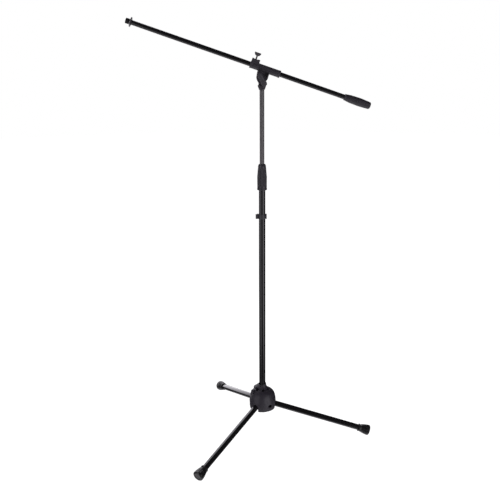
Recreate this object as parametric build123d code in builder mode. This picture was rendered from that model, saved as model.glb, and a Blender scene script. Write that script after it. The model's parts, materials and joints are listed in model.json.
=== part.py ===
"""Boom microphone stand: folding tripod, telescopic mast with a twist clutch and a tilting boom.

Millimetres and degrees, +Z up. The origin is on the floor, on the mast's axis.
The boom lies in the XZ plane, with its microphone end towards -X.
"""

from build123d import *
from math import atan2, cos, degrees, hypot, radians, sin, tan
import os

os.makedirs("parts", exist_ok=True)

# Tripod
FOOT_CIRCLE_R = 350.0
FOOT_CENTRE_Z = 14.9
LEG_AXES_CROSS_Z = 115.8
LEG_AZIMUTHS = {"right": -3.0, "front": -123.0, "rear": 116.6}
LEG_PIVOT_R = 26.5
LEG_R, LEG_WALL = 9.25, 1.2
LEG_SLOT_R = 9.65
HINGE_R, HINGE_BORE_R = 2.5, 2.56
HINGE_HEAD_R, HINGE_HEAD_START, HINGE_HEAD_H, HINGE_RECESS_R = 4.3, 18.0, 4.0, 5.3
HINGE_END, HINGE_SOCKET_R = -19.0, 2.3
INSERT_R, INSERT_START, INSERT_LENGTH = 3.8, -20.0, 10.0

LEG_SLOPE = degrees(atan2(LEG_AXES_CROSS_Z - FOOT_CENTRE_Z, FOOT_CIRCLE_R))
LEG_PIVOT_Z = LEG_AXES_CROSS_Z - LEG_PIVOT_R * tan(radians(LEG_SLOPE))
LEG_LENGTH = hypot(FOOT_CIRCLE_R - LEG_PIVOT_R, LEG_PIVOT_Z - FOOT_CENTRE_Z)
LEG_TUBE_START = 14.0
LEG_PLUG_R, LEG_PLUG_DEPTH = LEG_R - 0.15, 30.0
FOOT_FLARE_R, FOOT_MIDDLE_R, FOOT_NECK_R = 16.8, 15.4, 12.0
FOOT_LENGTH, FOOT_FLOOR = 38.0, 5.0

# Base housing, from its flat underside to the top of its neck, with a lobe towards each leg
BASE_Z0, BASE_Z1 = 90.0, 175.0
BASE_R0, BASE_NECK_R = 38.2, 12.4
BASE_SHOULDER = [(40.2, 118.0), (38.3, 133.0), (32.4, 147.0), (23.0, 155.0), (16.4, 162.0)]
LOBE_SHIFT, LOBE_TOP_R, LOBE_TOP_Z = 3.3, 16.0, 158.5
BUSH_R, BUSH_Z0, BUSH_Z1, MOUTH_CHAMFER = 11.1, 94.0, 171.0, 0.8
HOOD_HALF_W = 7.0
HOOD_OUTLINE = [(11, 158.6), (26.5, 158.6), (27.5, 160), (27.5, 166.2), (26, 167.6), (11, 174)]
POCKET_R, POCKET_CIRCLE_R, POCKET_DEPTH = 6.5, 24.0, 42.0

# Clamp knob of the base
KNOB_AZIMUTH, KNOB_Z = -160.0, 148.0
KNOB_R, KNOB_START, KNOB_END = 8.5, 26.6, 37.2
KNOB_STUD_R, KNOB_STUD_START, KNOB_CAP_T = 3.0, 13.8, 3.0
KNOB_RECESS_R, KNOB_RECESS_START = KNOB_R + 1.0, 26.0
CLAMP_INSERT_R, CLAMP_INSERT_START, CLAMP_INSERT_LENGTH = 4.6, 14.2, 11.0
PAD_R, PAD_GAP = 3.0, 0.4

# Mast tubes and clutch
COLUMN_R, COLUMN_WALL = 10.0, 1.0
COLUMN_Z0, COLUMN_Z1 = 93.6, 852.0
MAST_R, MAST_WALL = 7.0, 1.0
MAST_Z0, MAST_Z1 = 372.0, 1120.2
CLUTCH_Z0, CLUTCH_Z1 = 812.0, 890.5
CLUTCH_R, CLUTCH_TOP_R = 15.0, 12.0
CLUTCH_BODY_R = 11.3
CLUTCH_BODY_Z0, CLUTCH_CUP_Z, CLUTCH_CUP_R, CLUTCH_FLOOR_R = 818.0, 873.0, 10.0, 7.4
CLUTCH_BORE_R, CLUTCH_CONE_R, CLUTCH_CONE_Z, CLUTCH_HOLE_R = 11.6, 8.9, 884.6, 7.4
COLLET_Z0, COLLET_CONE_Z, COLLET_Z1 = 856.3, 872.0, 884.0
COLLET_R, COLLET_TOP_R, COLLET_SLIT = 9.6, 8.4, 1.6
SLIDE_GAP = 0.07
PLUG_FLANGE_H, PLUG_DEPTH = 3.0, 14.0
MAST_BUSH_H = 20.0
CLIP_Z, CLIP_HEIGHT = 730.0, 14.6
CLIP_RING_R, CLIP_CHANNEL_R, CLIP_LOOP_R, CLIP_LOOP_X = 11.6, 3.3, 4.7, -15.0
CLIP_JAW_R, CLIP_JAW_X, CLIP_JAW_Y, CLIP_GAP = 1.5, 12.7, 2.6, 2.4

# Tilt joint
PIVOT_Z = 1138.2
COLLAR_Z0, COLLAR_Z1 = 1107.7, 1121.0
REAR_DISC_R, FRONT_DISC_R = 14.4, 14.0
PLATE_T, PLATE_GAP = 10.8, 1.2
BOLT_R, BOLT_BORE_R = 4.0, 4.06
NUT_R, NUT_POCKET_R, NUT_H = 7.45, 7.5, 5.5
WASHER_R = 13.4
HANDLE_LENGTH, HANDLE_WIDTH, HANDLE_TILT = 44.0, 16.6, -61.0
HANDLE_Y0, HANDLE_Y1, HUB_R, HUB_GAP = 16.0, 28.5, 7.8, 0.3

# Boom; positions along it are counted from the foot of the pivot, towards the microphone
BOOM_TILT, BOOM_OFFSET = 19.1, 29.2
BOOM_R, BOOM_WALL = 7.0, 1.0
BOOM_S0, BOOM_S1 = -320.0, 402.0
SLEEVE_R, SLEEVE_BORE_R, SLEEVE_S0, SLEEVE_S1 = 10.3, BOOM_R + SLIDE_GAP, -46.0, 46.0
WEB_TOP = BOOM_OFFSET - 2
WEB_OUTLINE = [
    (9.5, -10), (14.6, -5), (17.1, 0), (18.9, 10), (20.5, WEB_TOP),
    (-15.5, WEB_TOP), (-15.8, 4.4), (-13, 0),
]
POCKET_OUTLINE = [(16.4, 11), (17.6, 23.5), (-12.6, 23.5), (-12.9, 8.5), (-6, 12.8), (6, 14.2)]
WEB_POCKET_DEPTH = 6.5
BLOCK_S0, BLOCK_S1, BLOCK_HALF_Y, BLOCK_TOP = 21.4, 45.0, 8.6, 19.4
BLOCK_NOTCH, BLOCK_NOTCH_W = 1.0, 13.0
BOOM_INSERT_R, BOOM_INSERT_START, BOOM_INSERT_LENGTH = 4.4, 10.2, 6.2
WING_S, WING_STEM_R, WING_STEM_FOOT = 34.0, 2.4, 9.6
WING_FOOT, WING_TOP, WING_FOOT_W, WING_HALF_W, WING_HALF_T = 28.0, 37.6, 3.4, 9.8, 2.2
WING_HUB_R, WING_HUB_TOP = 4.0, 33.5
STUD_R, STUD_END, STUD_DEPTH = 4.76, 419.0, 22.0
STUD_FLANGE_R, STUD_FLANGE_H = 7.4, 2.2
LOCK_RING_R, LOCK_RING_S0, LOCK_RING_S1 = 14.0, 404.5, 408.3
ADAPTER_R, ADAPTER_S0, ADAPTER_S1 = 7.94, 408.7, 421.0
GRIP_S0, GRIP_S1, CORE_R = -244.0, -325.0, 8.6


def radial(azimuth):
    """The horizontal unit vector at an azimuth."""
    return Vector(cos(radians(azimuth)), sin(radians(azimuth)), 0)


def tangent(azimuth):
    """The horizontal unit vector 90 degrees clockwise of an azimuth."""
    return radial(azimuth - 90)


def leg_pivot(azimuth):
    return radial(azimuth) * LEG_PIVOT_R + Vector(0, 0, LEG_PIVOT_Z)


def leg_down(azimuth):
    """The unit vector from a leg's hinge to its foot, with the leg open."""
    slope = radians(LEG_SLOPE)
    return radial(azimuth) * cos(slope) - Vector(0, 0, sin(slope))


def leg_plane(azimuth, distance=0.0):
    """The plane across an open leg, this far from its hinge."""
    down = leg_down(azimuth)
    return Plane(origin=leg_pivot(azimuth) + down * distance, x_dir=tangent(azimuth), z_dir=down)


def hinge_plane(azimuth, distance=0.0):
    """The plane across a leg's hinge screw; its X is radial and its Y is up."""
    side = tangent(azimuth)
    return Plane(origin=leg_pivot(azimuth) + side * distance, x_dir=radial(azimuth), z_dir=side)


def knob_plane(distance):
    """The plane across the base clamp's screw, this far from the mast's axis."""
    out = radial(KNOB_AZIMUTH)
    return Plane(origin=out * distance + Vector(0, 0, KNOB_Z), x_dir=tangent(KNOB_AZIMUTH), z_dir=out)


BOOM_DIR = Vector(-cos(radians(BOOM_TILT)), 0, sin(radians(BOOM_TILT)))
BOOM_UP = Vector(sin(radians(BOOM_TILT)), 0, cos(radians(BOOM_TILT)))
PIVOT = Vector(0, 0, PIVOT_Z)
BOOM_ORIGIN = PIVOT + BOOM_UP * BOOM_OFFSET
BOOM_AXIS = Axis(BOOM_ORIGIN, BOOM_DIR)
# Sketches on this plane have X along the boom and Y away from its axis.
BOOM_SIDE = Plane(origin=BOOM_ORIGIN, x_dir=BOOM_DIR, z_dir=(0, 1, 0))


def across_boom(distance):
    """The plane across the boom, with X away from the tilt joint."""
    return Plane(origin=BOOM_ORIGIN + BOOM_DIR * distance, x_dir=BOOM_UP, z_dir=BOOM_DIR)


def above_boom(distance):
    """The plane across the wing screw, this far from the boom's axis."""
    foot = BOOM_ORIGIN + BOOM_DIR * WING_S
    return Plane(origin=foot + BOOM_UP * distance, x_dir=BOOM_DIR, z_dir=BOOM_UP)


def joint_plane(y):
    """The plane across the tilt bolt at y, with X along the boom and Z towards the back."""
    return Plane(origin=PIVOT + Vector(0, y, 0), x_dir=BOOM_DIR, z_dir=(0, 1, 0))


def front_plane(y):
    """The plane across the tilt bolt at y, with X to the right and Z towards the front."""
    return Plane(origin=PIVOT + Vector(0, y, 0), x_dir=(1, 0, 0), z_dir=(0, -1, 0))


def save(part, name):
    part.label = name
    export_step(part, f"parts/{name}.step")


# ---------------------------------------------------------------- base

with BuildPart() as base_housing:
    with BuildSketch(Plane.XZ):
        with BuildLine():
            Polyline((0, BASE_Z1), (0, BASE_Z0), (BASE_R0 - 1, BASE_Z0), (BASE_R0, BASE_Z0 + 1))
            Spline(
                (BASE_R0, BASE_Z0 + 1),
                *BASE_SHOULDER,
                (BASE_NECK_R, BASE_Z1),
                tangents=[(0.2, 1), (0, 1)],
            )
            Line((BASE_NECK_R, BASE_Z1), (0, BASE_Z1))
        make_face()
    revolve(axis=Axis.Z)
    # Lobes: the same shoulder, turned about an axis that is shifted towards each leg
    for azimuth in LEG_AZIMUTHS.values():
        shift = radial(azimuth) * LOBE_SHIFT
        with BuildSketch(Plane(origin=shift, x_dir=(1, 0, 0), z_dir=(0, -1, 0))):
            with BuildLine():
                Polyline((0, LOBE_TOP_Z), (0, BASE_Z0), (BASE_R0 - 1, BASE_Z0), (BASE_R0, BASE_Z0 + 1))
                Spline(
                    (BASE_R0, BASE_Z0 + 1),
                    *BASE_SHOULDER[:4],
                    (LOBE_TOP_R, LOBE_TOP_Z),
                    tangents=[(0.2, 1), (-1, 0.4)],
                )
                Line((LOBE_TOP_R, LOBE_TOP_Z), (0, LOBE_TOP_Z))
            make_face()
        revolve(axis=Axis(shift, (0, 0, 1)))
    # Hood over the clamp knob
    with BuildSketch(Plane(origin=(0, 0, 0), x_dir=radial(KNOB_AZIMUTH), z_dir=tangent(KNOB_AZIMUTH))):
        Polygon(*HOOD_OUTLINE, align=None)
    extrude(amount=HOOD_HALF_W, both=True)
    with BuildSketch(Plane.XY.offset(BASE_Z0)):
        Circle(BUSH_R)
    extrude(amount=BASE_Z1 - BASE_Z0, mode=Mode.SUBTRACT)
    with BuildSketch(Plane.XY.offset(BASE_Z1)):
        Circle(BUSH_R + MOUTH_CHAMFER)
    extrude(amount=-2 * MOUTH_CHAMFER, taper=26.5, mode=Mode.SUBTRACT)
    # Recess for the knob, seat of its brass insert and passage of its pad
    for start, end, hole_r in (
        (KNOB_RECESS_START, 60.0, KNOB_RECESS_R),
        (CLAMP_INSERT_START - 0.2, 30.0, CLAMP_INSERT_R),
        (8.0, 30.0, PAD_R + 0.05),
    ):
        with BuildSketch(knob_plane(start)):
            Circle(hole_r)
        extrude(amount=end - start, mode=Mode.SUBTRACT)
    with BuildSketch(Plane.XY.offset(BASE_Z0)):
        with PolarLocations(POCKET_CIRCLE_R, 3, start_angle=LEG_AZIMUTHS["right"] + 60):
            Circle(POCKET_R)
    extrude(amount=POCKET_DEPTH, mode=Mode.SUBTRACT)
    for azimuth in LEG_AZIMUTHS.values():
        pivot = leg_pivot(azimuth)
        # Slot that the leg swings in, from open to straight down
        with Locations(pivot):
            Sphere(LEG_SLOT_R, mode=Mode.SUBTRACT)
        for direction in (leg_down(azimuth), Vector(0, 0, -1)):
            with BuildSketch(Plane(origin=pivot, z_dir=direction)):
                Circle(LEG_SLOT_R)
            extrude(amount=60, mode=Mode.SUBTRACT)
        drop = tan(radians(LEG_SLOPE))
        with BuildSketch(hinge_plane(azimuth)):
            Polygon((0, 0), (0, -60), (60, -60), (60, -60 * drop), align=None)
        extrude(amount=LEG_SLOT_R, both=True, mode=Mode.SUBTRACT)
        # Hinge screw: head recess, shank hole and seat of the insert
        for start, end, hole_r in (
            (HINGE_HEAD_START, 50.0, HINGE_RECESS_R),
            (INSERT_START - 1, HINGE_HEAD_START, HINGE_BORE_R),
            (INSERT_START - 1, INSERT_START + INSERT_LENGTH, INSERT_R),
        ):
            with BuildSketch(hinge_plane(azimuth, start)):
                Circle(hole_r)
            extrude(amount=end - start, mode=Mode.SUBTRACT)
save(base_housing.part, "base_housing")

with BuildPart() as base_bush:
    with BuildSketch(Plane.XY.offset(BUSH_Z0)):
        Circle(BUSH_R)
        Circle(COLUMN_R + SLIDE_GAP, mode=Mode.SUBTRACT)
    extrude(amount=BUSH_Z1 - BUSH_Z0)
    with BuildSketch(knob_plane(5)):
        Circle(PAD_R + 0.05)
    extrude(amount=10, mode=Mode.SUBTRACT)
save(base_bush.part, "base_bush")

with BuildPart() as hinge_screws:
    for azimuth in LEG_AZIMUTHS.values():
        head_end = HINGE_HEAD_START + HINGE_HEAD_H
        for start, end, radius in (
            (HINGE_END, HINGE_HEAD_START, HINGE_R),
            (HINGE_HEAD_START, head_end, HINGE_HEAD_R),
        ):
            with BuildSketch(hinge_plane(azimuth, start)):
                Circle(radius)
            extrude(amount=end - start)
        with BuildSketch(hinge_plane(azimuth, head_end)):
            RegularPolygon(HINGE_SOCKET_R, 6)
        extrude(amount=-2.5, mode=Mode.SUBTRACT)
save(hinge_screws.part, "hinge_screws")

with BuildPart() as hinge_inserts:
    for azimuth in LEG_AZIMUTHS.values():
        with BuildSketch(hinge_plane(azimuth, INSERT_START)):
            Circle(INSERT_R)
            Circle(HINGE_R + 0.02, mode=Mode.SUBTRACT)
        extrude(amount=INSERT_LENGTH)
save(hinge_inserts.part, "hinge_inserts")

with BuildPart() as base_clamp_insert:
    with BuildSketch(knob_plane(CLAMP_INSERT_START)):
        Circle(CLAMP_INSERT_R)
        Circle(KNOB_STUD_R + 0.05, mode=Mode.SUBTRACT)
    extrude(amount=CLAMP_INSERT_LENGTH)
save(base_clamp_insert.part, "base_clamp_insert")

with BuildPart() as base_clamp_pad:
    with BuildSketch(knob_plane(COLUMN_R + PAD_GAP)):
        Circle(PAD_R)
    extrude(amount=KNOB_STUD_START - COLUMN_R - PAD_GAP - 0.3)
save(base_clamp_pad.part, "base_clamp_pad")

with BuildPart() as base_knob_stud:
    with BuildSketch(knob_plane(KNOB_STUD_START)):
        Circle(KNOB_STUD_R)
    extrude(amount=KNOB_END - KNOB_CAP_T - KNOB_STUD_START)
save(base_knob_stud.part, "base_knob_stud")

with BuildPart() as base_knob:
    with BuildSketch(knob_plane(KNOB_START)):
        Circle(KNOB_R)
    extrude(amount=KNOB_END - KNOB_START)
    with BuildSketch(knob_plane(KNOB_START)):
        Circle(KNOB_STUD_R)
    extrude(amount=KNOB_END - KNOB_CAP_T - KNOB_START, mode=Mode.SUBTRACT)
save(base_knob.part, "base_knob")

# ---------------------------------------------------------------- legs

for side, azimuth in LEG_AZIMUTHS.items():
    with BuildPart() as leg_plug:
        with Locations(leg_pivot(azimuth)):
            Sphere(LEG_PLUG_R)
        with BuildSketch(leg_plane(azimuth)):
            Circle(LEG_PLUG_R)
        extrude(amount=LEG_TUBE_START)
        with BuildSketch(leg_plane(azimuth)):
            Circle(LEG_R - LEG_WALL)
        extrude(amount=LEG_TUBE_START + LEG_PLUG_DEPTH)
        with BuildSketch(hinge_plane(azimuth)):
            Circle(HINGE_BORE_R)
        extrude(amount=LEG_R, both=True, mode=Mode.SUBTRACT)
    save(leg_plug.part, f"leg_plug_{side}")

    with BuildPart() as leg_tube:
        with BuildSketch(leg_plane(azimuth, LEG_TUBE_START)):
            Circle(LEG_R)
            Circle(LEG_R - LEG_WALL, mode=Mode.SUBTRACT)
        extrude(amount=LEG_LENGTH - FOOT_FLOOR - LEG_TUBE_START)
    save(leg_tube.part, f"leg_tube_{side}")

    with BuildPart() as foot:
        end = LEG_LENGTH
        with BuildSketch(Plane(origin=leg_pivot(azimuth), x_dir=leg_down(azimuth), z_dir=tangent(azimuth))):
            with BuildLine():
                Polyline((end - FOOT_FLOOR, 0), (end, 0), (end, FOOT_FLARE_R - 3))
                RadiusArc((end, FOOT_FLARE_R - 3), (end - 3, FOOT_FLARE_R), -3)
                Polyline(
                    (end - 3, FOOT_FLARE_R),
                    (end - 18, FOOT_MIDDLE_R),
                    (end - FOOT_LENGTH + 1, FOOT_NECK_R),
                    (end - FOOT_LENGTH, FOOT_NECK_R - 1),
                    (end - FOOT_LENGTH, LEG_R),
                    (end - FOOT_FLOOR, LEG_R),
                    (end - FOOT_FLOOR, 0),
                )
            make_face()
        revolve(axis=Axis(leg_pivot(azimuth), leg_down(azimuth)))
        split(bisect_by=Plane.XY, keep=Keep.TOP)
    save(foot.part, f"foot_{side}")

# ---------------------------------------------------------------- column, clip and clutch

with BuildPart() as lower_tube:
    with BuildSketch(Plane.XY.offset(COLUMN_Z0)):
        Circle(COLUMN_R)
        Circle(COLUMN_R - COLUMN_WALL, mode=Mode.SUBTRACT)
    extrude(amount=COLUMN_Z1 - COLUMN_Z0)
save(lower_tube.part, "lower_tube")

with BuildPart() as column_end_plug:
    for start, height, radius in (
        (COLUMN_Z0 - PLUG_FLANGE_H, PLUG_FLANGE_H, BUSH_R - 0.3),
        (COLUMN_Z0, PLUG_DEPTH, COLUMN_R - COLUMN_WALL),
    ):
        with BuildSketch(Plane.XY.offset(start)):
            Circle(radius)
        extrude(amount=height)
save(column_end_plug.part, "column_end_plug")

with BuildPart() as clutch_body:
    with BuildSketch(Plane.XZ):
        with BuildLine():
            Polyline(
                (COLUMN_R, CLUTCH_BODY_Z0),
                (CLUTCH_BODY_R, CLUTCH_BODY_Z0),
                (CLUTCH_BODY_R, CLUTCH_CUP_Z),
                (CLUTCH_CUP_R, CLUTCH_CUP_Z),
                (CLUTCH_CUP_R, COLLET_Z0 - 0.3),
                (CLUTCH_FLOOR_R, COLLET_Z0 - 0.3),
                (CLUTCH_FLOOR_R, COLUMN_Z1),
                (COLUMN_R, COLUMN_Z1),
                close=True,
            )
        make_face()
    revolve(axis=Axis.Z)
save(clutch_body.part, "clutch_body")

with BuildPart() as clutch_collet:
    with BuildSketch(Plane.XZ):
        with BuildLine():
            Polyline(
                (MAST_R + SLIDE_GAP, COLLET_Z0),
                (COLLET_R, COLLET_Z0),
                (COLLET_R, COLLET_CONE_Z),
                (COLLET_TOP_R, COLLET_Z1),
                (MAST_R + SLIDE_GAP, COLLET_Z1),
                close=True,
            )
        make_face()
    revolve(axis=Axis.Z)
    with BuildSketch(Plane.XY.offset(COLLET_Z0)):
        with Locations((10, 0)):
            Rectangle(20, COLLET_SLIT)
    extrude(amount=COLLET_Z1 - COLLET_Z0, mode=Mode.SUBTRACT)
save(clutch_collet.part, "clutch_collet")

with BuildPart() as clutch_grip:
    with BuildSketch(Plane.XZ):
        with BuildLine():
            Polyline(
                (CLUTCH_TOP_R - 3, CLUTCH_Z1),
                (CLUTCH_HOLE_R, CLUTCH_Z1),
                (CLUTCH_HOLE_R, CLUTCH_CONE_Z),
                (CLUTCH_CONE_R, CLUTCH_CONE_Z),
                (CLUTCH_CUP_R, CLUTCH_CUP_Z + 0.6),
                (CLUTCH_BORE_R, CLUTCH_CUP_Z + 0.6),
                (CLUTCH_BORE_R, CLUTCH_Z0),
                (CLUTCH_R - 0.8, CLUTCH_Z0),
                (CLUTCH_R, CLUTCH_Z0 + 0.8),
                (CLUTCH_R, CLUTCH_Z0 + 40),
                (CLUTCH_TOP_R, CLUTCH_Z1 - 3),
            )
            RadiusArc((CLUTCH_TOP_R, CLUTCH_Z1 - 3), (CLUTCH_TOP_R - 3, CLUTCH_Z1), -3)
        make_face()
    revolve(axis=Axis.Z)
save(clutch_grip.part, "clutch_grip")

with BuildPart() as cable_clip:
    with BuildSketch(Plane.XY.offset(CLIP_Z - CLIP_HEIGHT / 2)):
        Circle(CLIP_RING_R)
        with Locations((CLIP_LOOP_X, 0)):
            Circle(CLIP_LOOP_R)
        with Locations((CLIP_JAW_X, CLIP_JAW_Y), (CLIP_JAW_X, -CLIP_JAW_Y)):
            Circle(CLIP_JAW_R)
        Circle(COLUMN_R + SLIDE_GAP, mode=Mode.SUBTRACT)
        with Locations((CLIP_LOOP_X, 0)):
            Circle(CLIP_CHANNEL_R, mode=Mode.SUBTRACT)
        # Mouth of the cable loop, and the gap that snaps over the tube
        with Locations((CLIP_LOOP_X - 2.5, 4)):
            Rectangle(3, 6, rotation=-30, mode=Mode.SUBTRACT)
        with Locations((CLIP_JAW_X, 0)):
            Rectangle(8, CLIP_GAP, mode=Mode.SUBTRACT)
    extrude(amount=CLIP_HEIGHT)
save(cable_clip.part, "cable_clip")

# ---------------------------------------------------------------- mast

with BuildPart() as upper_tube:
    with BuildSketch(Plane.XY.offset(MAST_Z0)):
        Circle(MAST_R)
        Circle(MAST_R - MAST_WALL, mode=Mode.SUBTRACT)
    extrude(amount=MAST_Z1 - MAST_Z0)
save(upper_tube.part, "upper_tube")

with BuildPart() as upper_tube_bush:
    with BuildSketch(Plane.XY.offset(MAST_Z0)):
        Circle(COLUMN_R - COLUMN_WALL - 0.08)
        Circle(MAST_R, mode=Mode.SUBTRACT)
    extrude(amount=MAST_BUSH_H)
save(upper_tube_bush.part, "upper_tube_bush")

with BuildPart() as joint_base:
    with BuildSketch(Plane.XZ):
        with BuildLine():
            Polyline(
                (MAST_R, COLLAR_Z0),
                (8.2, COLLAR_Z0),
                (8.8, COLLAR_Z0 + 0.8),
                (12.8, COLLAR_Z1 - 1),
                (12.2, COLLAR_Z1),
                (0, COLLAR_Z1),
                (0, MAST_Z1),
                (MAST_R, MAST_Z1),
                close=True,
            )
        make_face()
    revolve(axis=Axis.Z)
    # Rear plate of the joint, standing on the collar
    with BuildSketch(front_plane(PLATE_GAP)):
        Circle(REAR_DISC_R)
        with Locations((0, (COLLAR_Z1 - PIVOT_Z) / 2)):
            Rectangle(20, PIVOT_Z - COLLAR_Z1 + 1)
    extrude(amount=-PLATE_T)
    with BuildSketch(front_plane(PLATE_GAP)):
        Circle(BOLT_BORE_R)
    extrude(amount=-PLATE_T, mode=Mode.SUBTRACT)
    with BuildSketch(front_plane(PLATE_GAP + PLATE_T)):
        RegularPolygon(NUT_POCKET_R, 6)
    extrude(amount=NUT_H, mode=Mode.SUBTRACT)
save(joint_base.part, "joint_base")

with BuildPart() as pivot_nut:
    with BuildSketch(front_plane(PLATE_GAP + PLATE_T)):
        RegularPolygon(NUT_R, 6)
        Circle(BOLT_R + 0.05, mode=Mode.SUBTRACT)
    extrude(amount=NUT_H)
save(pivot_nut.part, "pivot_nut")

with BuildPart() as friction_washer:
    with BuildSketch(front_plane(PLATE_GAP)):
        Circle(WASHER_R)
        Circle(BOLT_BORE_R, mode=Mode.SUBTRACT)
    extrude(amount=2 * PLATE_GAP - 0.05)
save(friction_washer.part, "friction_washer")

with BuildPart() as pivot_bolt:
    with BuildSketch(front_plane(PLATE_GAP + PLATE_T + 1)):
        Circle(BOLT_R)
    extrude(amount=PLATE_GAP + PLATE_T + 1 + HANDLE_Y1 - 4.5)
save(pivot_bolt.part, "pivot_bolt")

with BuildPart() as pivot_handle:
    with BuildSketch(front_plane(-PLATE_GAP - PLATE_T - HUB_GAP)):
        Circle(HUB_R)
    extrude(amount=5)
    with BuildSketch(front_plane(-HANDLE_Y0)):
        SlotOverall(HANDLE_LENGTH, HANDLE_WIDTH, rotation=HANDLE_TILT)
    extrude(amount=HANDLE_Y1 - HANDLE_Y0)
    with BuildSketch(front_plane(-10)):
        Circle(BOLT_R)
    extrude(amount=HANDLE_Y1 - 14.5, mode=Mode.SUBTRACT)
save(pivot_handle.part, "pivot_handle")

# ---------------------------------------------------------------- boom clamp

with BuildPart() as boom_sleeve:
    with BuildSketch(across_boom(SLEEVE_S0)):
        Circle(SLEEVE_R)
    extrude(amount=SLEEVE_S1 - SLEEVE_S0)
    # Clamp block, with two lips beside the wing screw
    with BuildSketch(BOOM_SIDE):
        with Locations(((BLOCK_S0 + BLOCK_S1) / 2, BLOCK_TOP / 2)):
            Rectangle(BLOCK_S1 - BLOCK_S0, BLOCK_TOP)
    extrude(amount=BLOCK_HALF_Y, both=True)
    with BuildSketch(above_boom(BLOCK_TOP)):
        Rectangle(BLOCK_NOTCH_W, 2 * BLOCK_HALF_Y)
    extrude(amount=-BLOCK_NOTCH, mode=Mode.SUBTRACT)
    # Front plate of the joint and the web up to the sleeve
    with BuildSketch(joint_plane(-PLATE_GAP - PLATE_T)):
        Circle(FRONT_DISC_R)
        Polygon(*WEB_OUTLINE, align=None)
    extrude(amount=PLATE_T)
    with BuildSketch(joint_plane(-PLATE_GAP - PLATE_T)):
        Polygon(*POCKET_OUTLINE, align=None)
    extrude(amount=WEB_POCKET_DEPTH, mode=Mode.SUBTRACT)
    with BuildSketch(joint_plane(-PLATE_GAP - PLATE_T)):
        Circle(BOLT_BORE_R)
    extrude(amount=PLATE_T, mode=Mode.SUBTRACT)
    with BuildSketch(across_boom(SLEEVE_S0)):
        Circle(SLEEVE_BORE_R)
    extrude(amount=SLEEVE_S1 - SLEEVE_S0, mode=Mode.SUBTRACT)
    # Passage of the pad and seat of the brass insert
    for start, end, hole_r in (
        (0.0, BLOCK_TOP, PAD_R + 0.05),
        (BOOM_INSERT_START, BLOCK_TOP, BOOM_INSERT_R),
    ):
        with BuildSketch(above_boom(start)):
            Circle(hole_r)
        extrude(amount=end - start, mode=Mode.SUBTRACT)
save(boom_sleeve.part, "boom_sleeve")

with BuildPart() as boom_clamp_insert:
    with BuildSketch(above_boom(BOOM_INSERT_START)):
        Circle(BOOM_INSERT_R)
        Circle(WING_STEM_R + 0.06, mode=Mode.SUBTRACT)
    extrude(amount=BOOM_INSERT_LENGTH)
save(boom_clamp_insert.part, "boom_clamp_insert")

with BuildPart() as boom_clamp_pad:
    with BuildSketch(above_boom(BOOM_R + PAD_GAP)):
        Circle(PAD_R)
    extrude(amount=WING_STEM_FOOT - BOOM_R - PAD_GAP - 0.25)
save(boom_clamp_pad.part, "boom_clamp_pad")

with BuildPart() as wing_stem:
    with BuildSketch(above_boom(WING_STEM_FOOT)):
        Circle(WING_STEM_R)
    extrude(amount=WING_FOOT + 3 - WING_STEM_FOOT)
save(wing_stem.part, "wing_stem")

with BuildPart() as wing_head:
    with BuildSketch(BOOM_SIDE):
        with BuildLine():
            Polyline(
                (WING_S - WING_FOOT_W, WING_FOOT),
                (WING_S + WING_FOOT_W, WING_FOOT),
                (WING_S + WING_HALF_W, WING_TOP - 3),
                (WING_S + WING_HALF_W - 1, WING_TOP),
                (WING_S - WING_HALF_W + 1, WING_TOP),
                (WING_S - WING_HALF_W, WING_TOP - 3),
                close=True,
            )
        make_face()
    extrude(amount=WING_HALF_T, both=True)
    with BuildSketch(above_boom(WING_FOOT)):
        Circle(WING_HUB_R)
    extrude(amount=WING_HUB_TOP - WING_FOOT)
    with BuildSketch(above_boom(WING_FOOT)):
        Circle(WING_STEM_R)
    extrude(amount=3, mode=Mode.SUBTRACT)
save(wing_head.part, "wing_head")

# ---------------------------------------------------------------- boom

with BuildPart() as boom_tube:
    with BuildSketch(across_boom(BOOM_S0)):
        Circle(BOOM_R)
        Circle(BOOM_R - BOOM_WALL, mode=Mode.SUBTRACT)
    extrude(amount=BOOM_S1 - BOOM_S0)
save(boom_tube.part, "boom_tube")

with BuildPart() as boom_end_stud:
    for start, end, radius in (
        (BOOM_S1 - STUD_DEPTH, BOOM_S1, BOOM_R - BOOM_WALL),
        (BOOM_S1, BOOM_S1 + STUD_FLANGE_H, STUD_FLANGE_R),
        (BOOM_S1 + STUD_FLANGE_H, STUD_END, STUD_R),
    ):
        with BuildSketch(across_boom(start)):
            Circle(radius)
        extrude(amount=end - start)
save(boom_end_stud.part, "boom_end_stud")

with BuildPart() as lock_ring:
    with BuildSketch(across_boom(LOCK_RING_S0)):
        Circle(LOCK_RING_R)
        Circle(STUD_R + 0.05, mode=Mode.SUBTRACT)
    extrude(amount=LOCK_RING_S1 - LOCK_RING_S0)
save(lock_ring.part, "lock_ring")

with BuildPart() as thread_adapter:
    with BuildSketch(across_boom(ADAPTER_S0)):
        Circle(ADAPTER_R)
        Circle(STUD_R, mode=Mode.SUBTRACT)
    extrude(amount=ADAPTER_S1 - ADAPTER_S0)
save(thread_adapter.part, "thread_adapter")

with BuildPart() as counterweight_core:
    with BuildSketch(across_boom(BOOM_S0)):
        Circle(CORE_R)
        Circle(BOOM_R, mode=Mode.SUBTRACT)
    extrude(amount=GRIP_S0 - 3 - BOOM_S0)
save(counterweight_core.part, "counterweight_core")

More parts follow.
